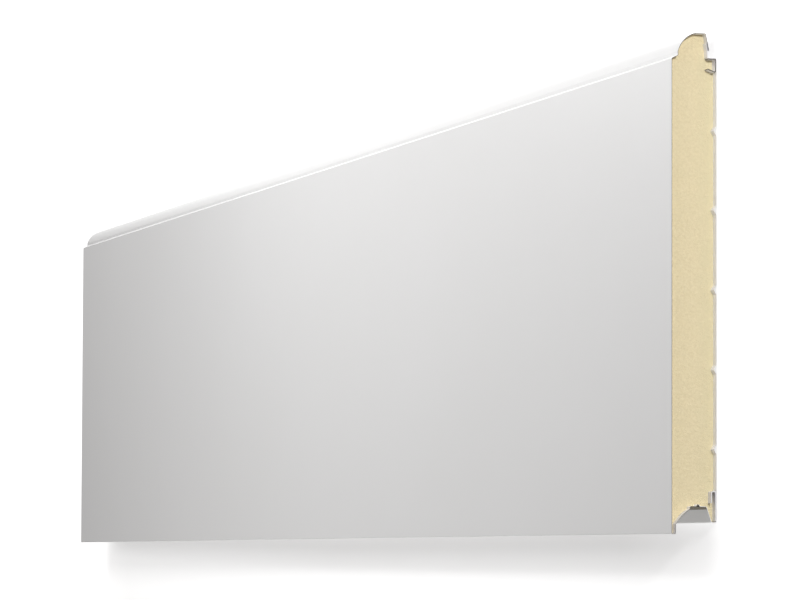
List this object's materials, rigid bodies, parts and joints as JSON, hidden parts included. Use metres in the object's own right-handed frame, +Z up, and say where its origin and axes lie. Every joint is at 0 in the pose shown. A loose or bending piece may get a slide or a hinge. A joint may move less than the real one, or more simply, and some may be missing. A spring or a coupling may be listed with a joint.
{
  "type": "insulated sandwich panel",
  "caption": "Long flat foam-cored panel with thin steel skins, a rounded tongue along one edge and a groove along the other.",
  "frame": {"origin": "middle of the panel's underside, which is its ribbed inner face", "axes": "X along the panel's length, +Y across it towards the tongue edge, +Z up from the inner face to the smooth outer face"},
  "size_m": [3, 0.5266, 0.05],
  "materials": {
    "outer_paint": "smooth satin light grey-white coil coating",
    "inner_paint": "smooth satin white coil coating",
    "foam": "matt fine-celled rigid foam",
    "galvanised_steel": "dull zinc coated",
    "seal": "matt dark cellular rubber"
  },
  "bodies": {
    "root": {"outer_skin": "outer_paint", "inner_skin": "inner_paint", "foam_core": "foam", "lower_hinge_strip": "galvanised_steel", "upper_hinge_strip": "galvanised_steel", "groove_seal": "seal"}
  },
  "joints": []
}
